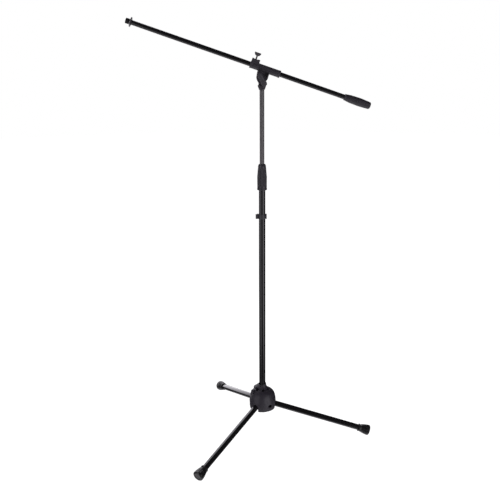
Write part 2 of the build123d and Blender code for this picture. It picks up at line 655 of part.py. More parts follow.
with BuildPart() as counterweight_grip:
    with BuildSketch(BOOM_SIDE):
        with BuildLine():
            Polyline((GRIP_S0, BOOM_R), (GRIP_S0, 8.6), (GRIP_S0 - 0.8, 9.4))
            Spline(
                (GRIP_S0 - 0.8, 9.4),
                (GRIP_S0 - 18, 11.3),
                (GRIP_S0 - 48, 12.0),
                (GRIP_S1 + 3.5, 10.4),
                tangents=[(-1, 0.08), (-1, -0.18)],
            )
            RadiusArc((GRIP_S1 + 3.5, 10.4), (GRIP_S1, 7), 3.5)
            Polyline((GRIP_S1, 7), (GRIP_S1, 0), (BOOM_S0, 0), (BOOM_S0, CORE_R), (GRIP_S0 - 3, CORE_R))
            Polyline((GRIP_S0 - 3, CORE_R), (GRIP_S0 - 3, BOOM_R), (GRIP_S0, BOOM_R))
        make_face()
    revolve(axis=BOOM_AXIS)
save(counterweight_grip.part, "counterweight_grip")
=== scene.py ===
import json
from math import ceil, cos, hypot, pi, radians, sin, tan

import bmesh
import bpy
from mathutils import Matrix, Vector

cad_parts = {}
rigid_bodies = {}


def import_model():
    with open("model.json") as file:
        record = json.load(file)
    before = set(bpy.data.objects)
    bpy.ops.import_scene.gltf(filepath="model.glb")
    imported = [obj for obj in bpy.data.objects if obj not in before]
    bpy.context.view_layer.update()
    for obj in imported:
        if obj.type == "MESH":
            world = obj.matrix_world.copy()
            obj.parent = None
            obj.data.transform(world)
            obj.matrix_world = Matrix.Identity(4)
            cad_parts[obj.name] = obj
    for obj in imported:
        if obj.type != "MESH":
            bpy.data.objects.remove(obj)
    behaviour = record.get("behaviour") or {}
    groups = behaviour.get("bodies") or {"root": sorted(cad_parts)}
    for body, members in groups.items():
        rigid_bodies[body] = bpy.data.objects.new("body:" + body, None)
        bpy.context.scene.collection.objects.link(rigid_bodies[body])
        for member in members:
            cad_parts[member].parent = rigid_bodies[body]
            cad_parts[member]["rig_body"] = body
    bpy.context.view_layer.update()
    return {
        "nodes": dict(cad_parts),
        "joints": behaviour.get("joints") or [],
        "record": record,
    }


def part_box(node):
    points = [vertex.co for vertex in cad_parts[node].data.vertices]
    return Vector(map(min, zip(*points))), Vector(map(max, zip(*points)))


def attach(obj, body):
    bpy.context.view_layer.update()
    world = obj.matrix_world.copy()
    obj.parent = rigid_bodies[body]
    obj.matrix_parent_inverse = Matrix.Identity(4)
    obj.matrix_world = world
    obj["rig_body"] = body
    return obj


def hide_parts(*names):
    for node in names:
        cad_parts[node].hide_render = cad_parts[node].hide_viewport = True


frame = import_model()

MM = 0.001  # shape numbers below are in millimetres
NODES = frame["nodes"]
JOINTS = {joint["name"]: joint for joint in frame["joints"]}


# ---------------------------------------------------------------- places


class Place:
    """A local frame in millimetres: s runs along an axis, u and v across it."""

    def __init__(self, origin, along, up):
        self.origin = Vector(origin)
        self.along = Vector(along).normalized()
        up = Vector(up)
        self.up = (up - self.along * up.dot(self.along)).normalized()
        self.side = self.along.cross(self.up)

    def point(self, s, u=0.0, v=0.0):
        return self.origin + (self.along * s + self.up * u + self.side * v) * MM

    def local(self, world):
        """(s, u, v) of a point, in millimetres."""
        d = Vector(world) - self.origin
        return d.dot(self.along) / MM, d.dot(self.up) / MM, d.dot(self.side) / MM

    def measure(self, node):
        """(first s, last s, largest radius) of a CAD node."""
        spots = [self.local(v.co) for v in NODES[node].data.vertices]
        along = [s for s, _, _ in spots]
        return min(along), max(along), max(hypot(u, v) for _, u, v in spots)


def joint_place(name, up):
    """A place at a joint, along its axis."""
    joint = JOINTS[name]
    return Place(joint["pos_m"], joint["axis"], up)


def middle(node):
    """The middle of a node's box, in metres."""
    low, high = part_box(node)
    return (low + high) / 2


MAST = Place((0, 0, 0), (0, 0, 1), (1, 0, 0))
BOOM = Place(middle("boom_tube"), JOINTS["boom_slide"]["axis"], (0, 0, 1))
PIVOT = Vector(JOINTS["boom_tilt"]["pos_m"])
LEGS = ("right", "front", "rear")


def leg_place(side):
    """Along an open leg from its hinge to its foot."""
    hinge = Vector(JOINTS[f"leg_{side}_fold"]["pos_m"])
    return Place(hinge, middle("leg_tube_" + side) - hinge, (0, 0, 1))


# ---------------------------------------------------------------- mesh tools


def add_object(name, mesh, body, finish, replaces=()):
    """Links a finished mesh, gives it its finish and lets it ride on a CAD body."""
    piece = bpy.data.objects.new(name, mesh)
    bpy.context.scene.collection.objects.link(piece)
    mesh.materials.append(finish)
    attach(piece, body)
    if replaces:
        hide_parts(*replaces)
    return piece


def smooth(mesh, angle=35.0):
    """Shades a mesh smooth, with edges sharper than angle left hard."""
    mesh.shade_smooth()
    mesh.set_sharp_from_angle(angle=radians(angle))
    return mesh


def rounded(corners, steps=5):
    """A closed outline in which each corner (s, r, radius) becomes an arc."""
    outline = []
    count = len(corners)
    for i, (s, r, radius) in enumerate(corners):
        here = Vector((s, r))
        before = Vector(corners[i - 1][:2]) - here
        after = Vector(corners[(i + 1) % count][:2]) - here
        if radius <= 0 or before.length < 1e-6 or after.length < 1e-6:
            outline.append((s, r))
            continue
        half = before.angle(after, pi) / 2
        if half > pi / 2 - 0.02:
            outline.append((s, r))
            continue
        reach = min(radius / tan(half), before.length * 0.49, after.length * 0.49)
        start, end = here + before.normalized() * reach, here + after.normalized() * reach
        for k in range(steps + 1):
            t = k / steps
            spot = start * (1 - t) ** 2 + here * 2 * t * (1 - t) + end * t**2
            outline.append((spot.x, spot.y))
    return outline


def divided(outline, step):
    """The same closed outline with no side longer than step."""
    result = []
    for (s0, r0), (s1, r1) in zip(outline, outline[1:] + outline[:1]):
        parts = max(1, ceil(hypot(s1 - s0, r1 - r0) / step))
        result += [(s0 + (s1 - s0) * k / parts, r0 + (r1 - r0) * k / parts) for k in range(parts)]
    return result


def turned(name, place, outline, segments=96, shape=None):
    """A mesh turned about a place's axis from a closed outline of (s, r).

    shape(s, r, angle) may return another radius, for flutes, knurls and threads.
    """
    bm = bmesh.new()
    rings = []
    for s, r in outline:
        if r < 1e-4:
            rings.append([bm.verts.new(place.point(s))])
            continue
        ring = []
        for k in range(segments):
            a = 2 * pi * k / segments
            radius = shape(s, r, a) if shape else r
            ring.append(bm.verts.new(place.point(s, radius * cos(a), radius * sin(a))))
        rings.append(ring)
    for ring, following in zip(rings, rings[1:] + rings[:1]):
        if len(ring) == 1 and len(following) == 1:
            continue
        for k in range(segments):
            n = (k + 1) % segments
            if len(ring) == 1:
                corners = (ring[0], following[n], following[k])
            elif len(following) == 1:
                corners = (ring[k], ring[n], following[0])
            else:
                corners = (ring[k], ring[n], following[n], following[k])
            bm.faces.new(corners)
    bmesh.ops.recalc_face_normals(bm, faces=bm.faces)
    mesh = bpy.data.meshes.new(name)
    bm.to_mesh(mesh)
    bm.free()
    return smooth(mesh)


def prism(name, place, outline, s0, s1):
    """A mesh extruded along a place's axis from a closed outline of (u, v)."""
    bm = bmesh.new()
    rings = [[bm.verts.new(place.point(s, u, v)) for u, v in outline] for s in (s0, s1)]
    count = len(outline)
    for k in range(count):
        n = (k + 1) % count
        bm.faces.new((rings[0][k], rings[0][n], rings[1][n], rings[1][k]))
    for ring in rings:
        bm.faces.new(ring)
    bmesh.ops.recalc_face_normals(bm, faces=bm.faces)
    mesh = bpy.data.meshes.new(name)
    bm.to_mesh(mesh)
    bm.free()
    return mesh


def lofted(name, place, sections, segments=48):
    """A closed mesh through sections (s, half u, half v, centre v, power), each a superellipse."""
    bm = bmesh.new()
    rings = []
    for s, half_u, half_v, centre, power in sections:
        ring = []
        for k in range(segments):
            a = 2 * pi * k / segments
            c, n = cos(a), sin(a)
            u = half_u * abs(c) ** (2 / power) * (1 if c > 0 else -1)
            v = half_v * abs(n) ** (2 / power) * (1 if n > 0 else -1)
            ring.append(bm.verts.new(place.point(s, u, centre + v)))
        rings.append(ring)
    for ring, following in zip(rings, rings[1:]):
        for k in range(segments):
            n = (k + 1) % segments
            bm.faces.new((ring[k], ring[n], following[n], following[k]))
    bm.faces.new(rings[0])
    bm.faces.new(rings[-1])
    bmesh.ops.recalc_face_normals(bm, faces=bm.faces)
    mesh = bpy.data.meshes.new(name)
    bm.to_mesh(mesh)
    bm.free()
    return mesh


def joined(name, meshes):
    """One welded mesh out of several."""
    bm = bmesh.new()
    for part in meshes:
        bm.from_mesh(part)
    bmesh.ops.remove_doubles(bm, verts=bm.verts, dist=1e-6)
    mesh = bpy.data.meshes.new(name)
    bm.to_mesh(mesh)
    bm.free()
    return mesh


def moulded(name, bases, cuts=(), voxel=0.6, relax=6, keep=0.35):
    """One soft-edged mesh: bases joined, cuts taken away, remeshed and relaxed as a moulding is."""
    work = bpy.data.objects.new(name + "_work", joined(name, bases))
    bpy.context.scene.collection.objects.link(work)
    tool = None
    if cuts:
        tool = bpy.data.objects.new(name + "_cut", joined(name + "_cut", cuts))
        bpy.context.scene.collection.objects.link(tool)
        modifier = work.modifiers.new("cut", "BOOLEAN")
        modifier.operation, modifier.object, modifier.solver = "DIFFERENCE", tool, "EXACT"
        modifier.use_self = True
    modifier = work.modifiers.new("remesh", "REMESH")
    modifier.mode, modifier.voxel_size = "VOXEL", voxel * MM
    modifier = work.modifiers.new("relax", "SMOOTH")
    modifier.factor, modifier.iterations = 0.5, relax
    if keep < 1:
        modifier = work.modifiers.new("thin", "DECIMATE")
        modifier.ratio = keep
    bpy.context.view_layer.update()
    graph = bpy.context.evaluated_depsgraph_get()
    result = bpy.data.meshes.new_from_object(work.evaluated_get(graph))
    result.name = name
    if tool:
        bpy.data.objects.remove(tool)
    bpy.data.objects.remove(work)
    result.materials.clear()
    result.shade_smooth()
    return result


def tube_outline(s0, s1, outer, wall, edge=0.3):
    """A tube's wall from s0 to s1, with its edges broken."""
    inner = outer - wall
    return rounded([(s0, inner, edge), (s0, outer, edge), (s1, outer, edge), (s1, inner, edge)], 3)


def threaded(pitch, depth, radius, s0, s1):
    """A shape for turned(): a right-handed helical thread on the outside, fading at both ends."""

    def shape(s, r, a):
        if r < radius - 0.6:
            return r
        fade = max(0.0, min(1.0, (s - s0) / pitch, (s1 - s) / pitch))
        phase = (s / pitch - a / (2 * pi)) % 1.0
        ridge = min(1.0, max(0.0, 1.3 - 3.2 * abs(phase - 0.5)))
        return r - depth * (1 - ridge) * fade

    return shape


# ---------------------------------------------------------------- finishes


class Finish:
    """A procedural material, built up from layers of noise in object space."""

    def __init__(self, name, colour, roughness, metallic=0.0, specular=0.5):
        self.material = bpy.data.materials.new(name)
        self.material.use_nodes = True
        self.tree = self.material.node_tree
        self.shader = self.tree.nodes["Principled BSDF"]
        self.shader.inputs["Base Color"].default_value = (*colour, 1)
        self.shader.inputs["Roughness"].default_value = roughness
        self.shader.inputs["Metallic"].default_value = metallic
        self.shader.inputs["Specular IOR Level"].default_value = specular
        self.colour, self.roughness = colour, roughness
        self.place = self.node("ShaderNodeTexCoord").outputs["Object"]
        self.normal = None

    def node(self, kind, **values):
        node = self.tree.nodes.new(kind)
        for key, value in values.items():
            if hasattr(node, key):
                setattr(node, key, value)
            else:
                node.inputs[key].default_value = value
        return node

    def link(self, start, end):
        self.tree.links.new(start, end)

    def turned(self, angle=(0, 0, 0), stretch=(1, 1, 1)):
        """Object space turned and stretched, for grain that runs one way."""
        first = self.node("ShaderNodeMapping")
        first.inputs["Rotation"].default_value = angle
        second = self.node("ShaderNodeMapping")
        second.inputs["Scale"].default_value = stretch
        self.link(self.place, first.inputs["Vector"])
        self.link(first.outputs["Vector"], second.inputs["Vector"])
        return second.outputs["Vector"]

    def noise(self, size, detail=3.0, space=None, contrast=(0.3, 0.7)):
        """Noise with features of about this size in millimetres, as a value from 0 to 1."""
        node = self.node("ShaderNodeTexNoise", Scale=1 / (size * MM), Detail=detail)
        self.link(space or self.place, node.inputs["Vector"])
        ramp = self.node("ShaderNodeMapRange")
        ramp.inputs["From Min"].default_value, ramp.inputs["From Max"].default_value = contrast
        self.link(node.outputs["Fac"], ramp.inputs["Value"])
        return ramp.outputs["Result"]

    def cells(self, size):
        node = self.node("ShaderNodeTexVoronoi", Scale=1 / (size * MM))
        self.link(self.place, node.inputs["Vector"])
        return node.outputs["Distance"]

    def edges(self, low=0.5, high=0.62):
        """1 on outer edges and 0 on flats, from the surface's own shape."""
        node = self.node("ShaderNodeNewGeometry")
        ramp = self.node("ShaderNodeMapRange")
        ramp.inputs["From Min"].default_value, ramp.inputs["From Max"].default_value = low, high
        self.link(node.outputs["Pointiness"], ramp.inputs["Value"])
        return ramp.outputs["Result"]

    # Mask for painted shade: moulded_plastic darkens the colour and weakens the reflection here, standing
    # in for the shade that falls in hollows and corners.
    def crease_shade(self, low=0.44, high=0.492):
        """1 deep in hollows and corners and 0 on flats, from the surface's own shape."""
        return self.edges(high, low)

    def dull(self, amount, least=0.12):
        """Lowers the surface's reflection towards least where amount is 1."""
        ramp = self.node("ShaderNodeMapRange")
        socket = self.shader.inputs["Specular IOR Level"]
        ramp.inputs["To Min"].default_value = socket.default_value
        ramp.inputs["To Max"].default_value = least
        self.link(amount, ramp.inputs["Value"])
        self.link(ramp.outputs["Result"], socket)

    def times(self, a, b):
        node = self.node("ShaderNodeMath", operation="MULTIPLY")
        for value, socket in zip((a, b), node.inputs):
            if isinstance(value, (int, float)):
                socket.default_value = value
            else:
                self.link(value, socket)
        return node.outputs["Value"]

    def tint(self, amount, colour):
        """Mixes another colour in where amount is 1."""
        mix = self.node("ShaderNodeMix", data_type="RGBA")
        # The mix node's colour sockets share their names with its other sockets
        under, over, result = mix.inputs[6], mix.inputs[7], mix.outputs[2]
        self.link(amount, mix.inputs[0])
        socket = self.shader.inputs["Base Color"]
        if socket.is_linked:
            self.link(socket.links[0].from_socket, under)
        else:
            under.default_value = (*self.colour, 1)
        over.default_value = (*colour, 1)
        self.link(result, socket)

    def rough(self, amount, change):
        """Adds change to the roughness where amount is 1."""
        node = self.node("ShaderNodeMath", operation="MULTIPLY_ADD", use_clamp=True)
        self.link(amount, node.inputs[0])
        node.inputs[1].default_value = change
        socket = self.shader.inputs["Roughness"]
        if socket.is_linked:
            self.link(socket.links[0].from_socket, node.inputs[2])
        else:
            node.inputs[2].default_value = self.roughness
        self.link(node.outputs["Value"], socket)

    def bump(self, height, depth, strength=1.0):
        """Raises the surface by depth millimetres where height is 1."""
        node = self.node("ShaderNodeBump", Strength=strength, Distance=depth * MM)
        self.link(height, node.inputs["Height"])
        if self.normal:
            self.link(self.normal, node.inputs["Normal"])
        self.normal = node.outputs["Normal"]
        self.link(self.normal, self.shader.inputs["Normal"])


def moulded_plastic(name, colour, roughness, grain=0.35):
    """Injection-moulded plastic: spark-eroded grain, slight mottling, rubbed edges, and painted shade in
    hollows and corners (darker colour, weaker reflection).
    """
    worn = (0.07, 0.068, 0.072)
    f = Finish(name, colour, roughness)
    f.tint(f.times(f.noise(14, 4), 0.35), [c * 1.7 for c in colour])
    f.tint(f.times(f.noise(3.0, 5, contrast=(0.58, 0.7)), 0.25), [c * 0.5 for c in colour])
    f.tint(f.times(f.times(f.edges(0.53, 0.64), f.noise(5, 5)), 0.5), worn)
    # Painted shade: hollows and corners get a quarter of the colour and a weaker reflection, standing in
    # for the shade that falls there.
    f.tint(f.times(f.crease_shade(), 0.85), [c * 0.25 for c in colour])
    f.dull(f.crease_shade())
    f.rough(f.noise(9, 4), 0.12)
    f.rough(f.noise(1.2, 4, contrast=(0.6, 0.75)), -0.1)
    f.bump(f.cells(grain), 0.02, 0.55)
    f.bump(f.noise(2.5, 3), 0.02, 0.5)
    return f.material


def painted_tube(name, along):
    """Gloss black powder coat: orange peel, fine scuffs along the tube and a few dust specks."""
    f = Finish(name, (0.0035, 0.0033, 0.0038), 0.12)
    angle = along.rotation_difference(Vector((0, 0, 1))).to_euler()
    along = f.turned(angle, (1, 1, 0.03))
    scuffs = f.noise(0.7, 4, along, (0.62, 0.74))
    f.tint(f.times(scuffs, 0.3), (0.03, 0.03, 0.033))
    f.tint(f.times(f.noise(0.6, 2, contrast=(0.74, 0.8)), 0.4), (0.06, 0.058, 0.056))
    f.rough(scuffs, 0.14)
    f.rough(f.noise(30, 3), 0.07)
    f.bump(f.noise(1.6, 2), 0.012, 0.5)
    f.shader.inputs["Coat Weight"].default_value = 0.25
    f.shader.inputs["Coat Roughness"].default_value = 0.08
    return f.material


def satin_tube(name):
    """Dark satin nickel over steel, drawn along its length."""
    f = Finish(name, (0.105, 0.100, 0.104), 0.36, metallic=0.75)
    drawn = f.noise(0.5, 5, f.turned(stretch=(1, 1, 0.01)))
    f.tint(f.times(drawn, 0.45), (0.17, 0.164, 0.168))
    f.tint(f.times(f.noise(45, 4), 0.3), (0.08, 0.077, 0.08))
    f.tint(f.times(f.noise(2.2, 5, contrast=(0.66, 0.76)), 0.35), (0.05, 0.048, 0.049))
    f.rough(drawn, 0.1)
    f.rough(f.noise(20, 4), 0.06)
    f.bump(drawn, 0.006, 0.5)
    return f.material


def bare_metal(name, colour, roughness, metallic=1.0, stain=(0.3, 0.29, 0.27)):
    """Plated or plain metal with fine marks, slight stains and rubbed edges."""
    f = Finish(name, colour, roughness, metallic)
    f.tint(f.times(f.noise(3, 5, contrast=(0.5, 0.75)), 0.3), stain)
    f.tint(f.times(f.edges(0.53, 0.62), 0.5), [min(1, c * 1.5 + 0.02) for c in colour])
    f.rough(f.noise(1.5, 5), 0.16)
    f.bump(f.noise(0.35, 4), 0.006, 0.6)
    return f.material


def soft_rubber(name):
    """Black rubber: fine pores, a soft sheen and slightly rubbed edges."""
    f = Finish(name, (0.005, 0.0048, 0.0054), 0.24)
    f.tint(f.times(f.noise(6, 5), 0.4), (0.01, 0.0098, 0.0104))
    f.tint(f.times(f.times(f.edges(0.52, 0.6), f.noise(2, 5)), 0.3), (0.04, 0.039, 0.038))
    f.rough(f.noise(4, 4), 0.12)
    f.bump(f.noise(0.4, 4), 0.02, 0.5)
    f.bump(f.cells(1.1), 0.012, 0.3)
    return f.material


def plain_nylon(name, colour):
    """Plain nylon or fibre: faint mottling and a soft grain."""
    f = Finish(name, colour, 0.42)
    f.tint(f.times(f.noise(5, 4), 0.3), [c * 0.75 for c in colour])
    f.rough(f.noise(2, 4), 0.1)
    f.bump(f.noise(0.6, 3), 0.01, 0.5)
    return f.material


FINISHES = {
    "black_plastic": moulded_plastic("black_plastic", (0.0135, 0.0115, 0.0165), 0.42),
    "joint_plastic": moulded_plastic("joint_plastic", (0.0155, 0.0138, 0.0176), 0.34),
    "handle_plastic": moulded_plastic("handle_plastic", (0.017, 0.0158, 0.0195), 0.48),
    "wing_plastic": moulded_plastic("wing_plastic", (0.03, 0.0275, 0.031), 0.42, 0.25),
    "grip_plastic": moulded_plastic("grip_plastic", (0.0125, 0.011, 0.0145), 0.38, 0.45),
    "clip_plastic": moulded_plastic("clip_plastic", (0.016, 0.0148, 0.018), 0.4, 0.3),
    "grey_nylon": plain_nylon("grey_nylon", (0.32, 0.32, 0.31)),
    "fibre_washer": plain_nylon("fibre_washer", (0.05, 0.04, 0.032)),
    "rubber": soft_rubber("rubber"),
    "gloss_black_tube": painted_tube("gloss_black_tube", MAST.along),
    "satin_tube": satin_tube("satin_tube"),
    "zinc_steel": bare_metal("zinc_steel", (0.5, 0.5, 0.51), 0.3),
    "blackened_steel": bare_metal("blackened_steel", (0.035, 0.035, 0.037), 0.34, 0.7, (0.06, 0.05, 0.045)),
    "bright_metal": bare_metal("bright_metal", (0.42, 0.42, 0.43), 0.16),
    "brass": bare_metal("brass", (0.7, 0.52, 0.24), 0.3, stain=(0.4, 0.27, 0.13)),
}
SLOT_OF = {row["node"]: row["material_slot"] for row in frame["record"]["subparts"]}


def finish_cad_nodes():
    """Every CAD node takes its slot's finish, and its packed material goes."""
    for name, node in NODES.items():
        node.data.materials.clear()
        node.data.materials.append(FINISHES[SLOT_OF[name]])
        smooth(node.data, 30)


def stand_for(name, mesh, *nodes, finish=None):
    """A finished mesh that replaces CAD nodes, with the first one's body and slot."""
    slot = SLOT_OF[nodes[0]]
    return add_object(name, mesh, NODES[nodes[0]]["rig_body"], finish or FINISHES[slot], nodes)


# ---------------------------------------------------------------- tubes and legs


TUBE_WALL, LEG_WALL = 1.0, 1.2
TUBE_SEGMENTS = 128


def make_tubes():
    """The mast, boom and leg tubes, with softened ends and a finish that follows each one's length."""
    for name, place in (("lower_tube", MAST), ("upper_tube", MAST), ("boom_tube", BOOM)):
        s0, s1, r = place.measure(name)
        mesh = turned(name + "_skin", place, tube_outline(s0, s1, r, TUBE_WALL), TUBE_SEGMENTS)
        finish = painted_tube("gloss_black_boom", BOOM.along) if place is BOOM else None
        stand_for(name + "_skin", mesh, name, finish=finish)
    for side in LEGS:
        place = leg_place(side)
        s0, s1, r = place.measure("leg_tube_" + side)
        mesh = turned(f"leg_tube_{side}_skin", place, tube_outline(s0, s1, r, LEG_WALL), TUBE_SEGMENTS)
        finish = painted_tube("gloss_black_leg_" + side, place.along)
        stand_for(f"leg_tube_{side}_skin", mesh, "leg_tube_" + side, finish=finish)


def make_foot(side):
    """A flared rubber cap with shallow grooves round its flare, flat where it meets the floor."""
    place = leg_place(side)
    s0, s1, flare = place.measure("foot_" + side)
    _, tube_end, tube_r = place.measure("leg_tube_" + side)
    neck = 11.6
    outline = rounded(
        [
            (s1 - 0.8, 0, 0),
            (s1 - 0.8, flare - 8.4, 0.5),
            (s1, flare - 7.4, 0.8),
            (s1, flare - 3.2, 1.5),
            (s1 - 2.6, flare - 0.2, 2.5),
            (s1 - 6.0, flare, 3),
            (s1 - 10.0, flare - 0.4, 6),
            (s1 - 18.0, flare - 1.6, 9),
            (s1 - 29.0, neck + 1.0, 6),
            (s1 - 30.5, neck, 1.0),
            (s0 + 5.2, neck - 1.0, 0.5),
            (s0 + 4.0, neck + 0.6, 0.5),
            (s0 + 0.6, neck + 0.6, 0.6),
            (s0, neck - 0.4, 0.5),
            (s0, tube_r, 0.3),
            (tube_end, tube_r, 0),
            (tube_end, 0, 0),
        ],
        6,
    )
    grooves, depth = 14, 0.9

    def shape(s, r, a):
        into = (s1 - 5.5 - s) / 3.0
        out = (s - (s1 - 23.0)) / 4.0
        fade = max(0.0, min(1.0, into, out))
        if r < tube_r + 0.4 or fade == 0:
            return r
        return r - depth * fade * max(0.0, cos(grooves * a)) ** 3

    mesh = turned(f"foot_{side}_skin", place, divided(outline, 1.2), 168, shape)
    for vertex in mesh.vertices:
        vertex.co.z = max(vertex.co.z, 0.0)
    mesh.update()
    stand_for(f"foot_{side}_skin", mesh, "foot_" + side)


# ---------------------------------------------------------------- base


HOLLOWS, HOLLOW_AZIMUTH = 6, -22.0
HOLLOW_RADIUS, HOLLOW_DROP = 20.0, 17.5  # from the mast's axis, and below the neck's rim
GROOVE_R, GROOVE_DROP = 12.0, 4.4
SPLIT_AZIMUTHS, SPLIT_RADII, SPLIT_DEPTH = (-142.0, -84.0), (10.8, 13.6), 7.5


def make_housing():
    """The moulded base, with hollows round its shoulder, and a groove and a split in its neck."""
    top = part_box("base_housing")[1].z / MM
    up = Vector((0, 0, 1))
    cuts = []
    for k in range(HOLLOWS):
        azimuth = radians(HOLLOW_AZIMUTH + 360 / HOLLOWS * k)
        out = Vector((cos(azimuth), sin(azimuth), 0))
        place = Place((out * HOLLOW_RADIUS + up * (top - HOLLOW_DROP)) * MM, out * 0.8 + up * 0.6, up)
        bead = rounded([(-7.0, 0, 0), (-6.8, 3.7, 1.4), (9, 5.4, 0), (9, 0, 0)], 6)
        cuts.append(turned("hollow", place, bead, 40))
    low, high = top - GROOVE_DROP, top - GROOVE_DROP + 1
    groove = rounded([(low, GROOVE_R, 0), (low, 16, 0), (high, 16, 0), (high, GROOVE_R, 0)], 1)
    cuts.append(turned("groove", MAST, groove, 64))
    start, end = SPLIT_AZIMUTHS
    arc = [radians(start + (end - start) * k / 12) for k in range(13)]
    inner, outer = SPLIT_RADII
    sector = [(inner * cos(a), inner * sin(a)) for a in arc]
    sector += [(outer * cos(a), outer * sin(a)) for a in reversed(arc)]
    cuts.append(prism("split", MAST, sector, top - SPLIT_DEPTH, top + 1))
    mesh = moulded("housing", [NODES["base_housing"].data], cuts, 0.55, 8, 0.4)
    stand_for("housing", mesh, "base_housing")


def make_base_knob():
    """A round fluted knob with a dished face."""
    place = joint_place("base_knob_turn", (0, 0, 1))
    s0, s1, r = place.measure("base_knob")
    outline = rounded(
        [
            (s0, 0, 0),
            (s0, r - 1.4, 0.8),
            (s0 + 1.2, r, 0.8),
            (s1 - 1.6, r, 1.4),
            (s1, r - 1.6, 1.2),
            (s1 - 0.2, r - 2.6, 0.6),
            (s1 - 1.3, r - 3.4, 0.8),
            (s1 - 1.5, 0, 0),
        ],
        5,
    )
    flutes = 12

    def shape(s, radius, a):
        edge = max(0.0, min(1.0, (radius - (r - 2.4)) / 2.0))
        return radius - 0.75 * edge * max(0.0, cos(flutes * a)) ** 2

    mesh = turned("base_knob_skin", place, divided(outline, 1.0), 144, shape)
    stand_for("base_knob_skin", mesh, "base_knob")


# ---------------------------------------------------------------- clip and clutch


def make_clip():
    """The cable clip, with its edges softened."""
    mesh = moulded("cable_clip_skin", [NODES["cable_clip"].data], (), 0.3, 5, 0.5)
    stand_for("cable_clip_skin", mesh, "cable_clip")


def make_clutch_grip():
    """The fluted, tapered grip, with a plain band at its foot and rounded shoulders."""
    s0, s1, r = MAST.measure("clutch_grip")
    bore = MAST.measure("clutch_body")[2] + 0.3
    hole = MAST.measure("upper_tube")[2] + 0.45
    cone_top, cone_foot = 8.9, 10.0
    top = r * 0.79
    outline = rounded(
        [
            (s0, bore, 0.3),
            (s0, r - 1.0, 0.6),
            (s0 + 1.0, r, 0.6),
            (s0 + 4.4, r, 0.5),
            (s0 + 5.2, r - 0.9, 0.5),
            (s0 + 6.6, r - 0.5, 1.0),
            (s0 + 40.0, r - 0.2, 20),
            (s1 - 5.0, top, 6),
            (s1 - 1.0, top - 1.6, 2.6),
            (s1, top - 3.4, 1.2),
            (s1, hole, 0.4),
            (s1 - 5.9, hole, 0),
            (s1 - 5.9, cone_top, 0),
            (s1 - 16.9, cone_foot, 0),
            (s1 - 16.9, bore, 0),
        ],
        8,
    )
    flutes, depth = 16, 0.75

    def shape(s, radius, a):
        fade = max(0.0, min(1.0, (s - s0 - 8.0) / 5.0, (s1 - 8.0 - s) / 8.0))
        if radius < 10.6 or fade == 0:
            return radius
        return radius - depth * fade * (0.5 + 0.5 * cos(flutes * a)) ** 2

    mesh = turned("clutch_grip_skin", MAST, divided(outline, 1.6), 192, shape)
    stand_for("clutch_grip_skin", mesh, "clutch_grip")


# ---------------------------------------------------------------- tilt joint


VALLEY_NEAR, VALLEY_FAR = (7.5, 2.2), (16, 6.4)  # distance from the mast's axis, and half width there
VALLEY_HEIGHTS = (1.6, 17.0)  # above the foot of the collar


def make_joint_base():
    """The lower half of the tilt joint, with a tapered valley between two ribs on its collar."""
    s0 = MAST.measure("joint_base")[0]
    cuts = []
    for turn in (-pi / 2, pi / 2):
        place = Place((0, 0, s0 * MM), (0, 0, 1), (cos(turn), sin(turn), 0))
        corners = ((VALLEY_NEAR, -1), (VALLEY_FAR, -1), (VALLEY_FAR, 1), (VALLEY_NEAR, 1))
        valley = [(reach, side * half) for (reach, half), side in corners]
        cuts.append(prism("valley", place, valley, *VALLEY_HEIGHTS))
    mesh = moulded("joint_base_skin", [NODES["joint_base"].data], cuts, 0.4, 5, 0.45)
    stand_for("joint_base_skin", mesh, "joint_base")


HANDLE_TILT, HANDLE_LENGTH, HANDLE_WIDTH, HANDLE_HALF_T = -61.0, 44.0, 16.6, 6.2


def make_handle():
    """The T-bar handle: a crowned bar that narrows to its hub."""
    place = Place(PIVOT, JOINTS["tilt_handle_turn"]["axis"], (1, 0, 0))
    s0, s1, _ = place.measure("pivot_handle")
    tilt = radians(HANDLE_TILT)
    bar = Place(PIVOT, (cos(tilt), 0, sin(tilt)), (sin(tilt), 0, -cos(tilt)))
    depth = bar.side.dot(place.along)
    middle_s = s1 - HANDLE_HALF_T
    sections = []
    count = 28
    for k in range(count + 1):
        t = -1 + 2 * k / count
        end = max(0.02, max(0.0, 1 - abs(t) ** 7) ** 0.5)
        width = HANDLE_WIDTH / 2 * (0.94 + 0.06 * min(1.0, abs(t) * 1.3) ** 2) * end
        thick = HANDLE_HALF_T * (0.8 + 0.2 * (1 - t * t)) * end
        sections.append((t * HANDLE_LENGTH / 2, width, thick, depth * (middle_s - 0.4 * t * t), 3.0))
    body = lofted("bar", bar, sections, 64)
    outline = rounded([(s0, 0, 0), (s0, 7.7, 0.6), (middle_s, 7.0, 0), (middle_s, 0, 0)], 4)
    hub = turned("hub", place, outline, 64)
    sections = []
    count = 24
    for k in range(count + 1):
        x = -17.9 + 35.8 * k / count
        half = max(0.3, 5.2 * (1 - (x / 18) ** 4) ** 0.5)
        sections.append((x, half, 3.0, depth * (s1 + 1.9), 2.4))
    pocket = lofted("pocket", bar, sections, 48)
    mesh = moulded("pivot_handle_skin", [body, hub], [pocket], 0.4, 5, 0.45)
    stand_for("pivot_handle_skin", mesh, "pivot_handle")


# ---------------------------------------------------------------- boom clamp


def make_sleeve():
    """The T-piece, with a bead at each mouth of its sleeve."""
    s0, s1, _ = BOOM.measure("boom_sleeve")
    tube = BOOM.measure("boom_tube")[2] + 0.07
    outer = 10.8
    extras = []
    for start, end in ((s0, s0 + 5.0), (s1 - 5.0, s1)):
        bead = [(start, tube, 0.4), (start, outer, 0.8), (end, outer, 0.8), (end, tube, 0)]
        extras.append(turned("bead", BOOM, rounded(bead, 4), 64))
    mesh = moulded("boom_sleeve_skin", [NODES["boom_sleeve"].data, *extras], (), 0.5, 6, 0.4)
    stand_for("boom_sleeve_skin", mesh, "boom_sleeve")


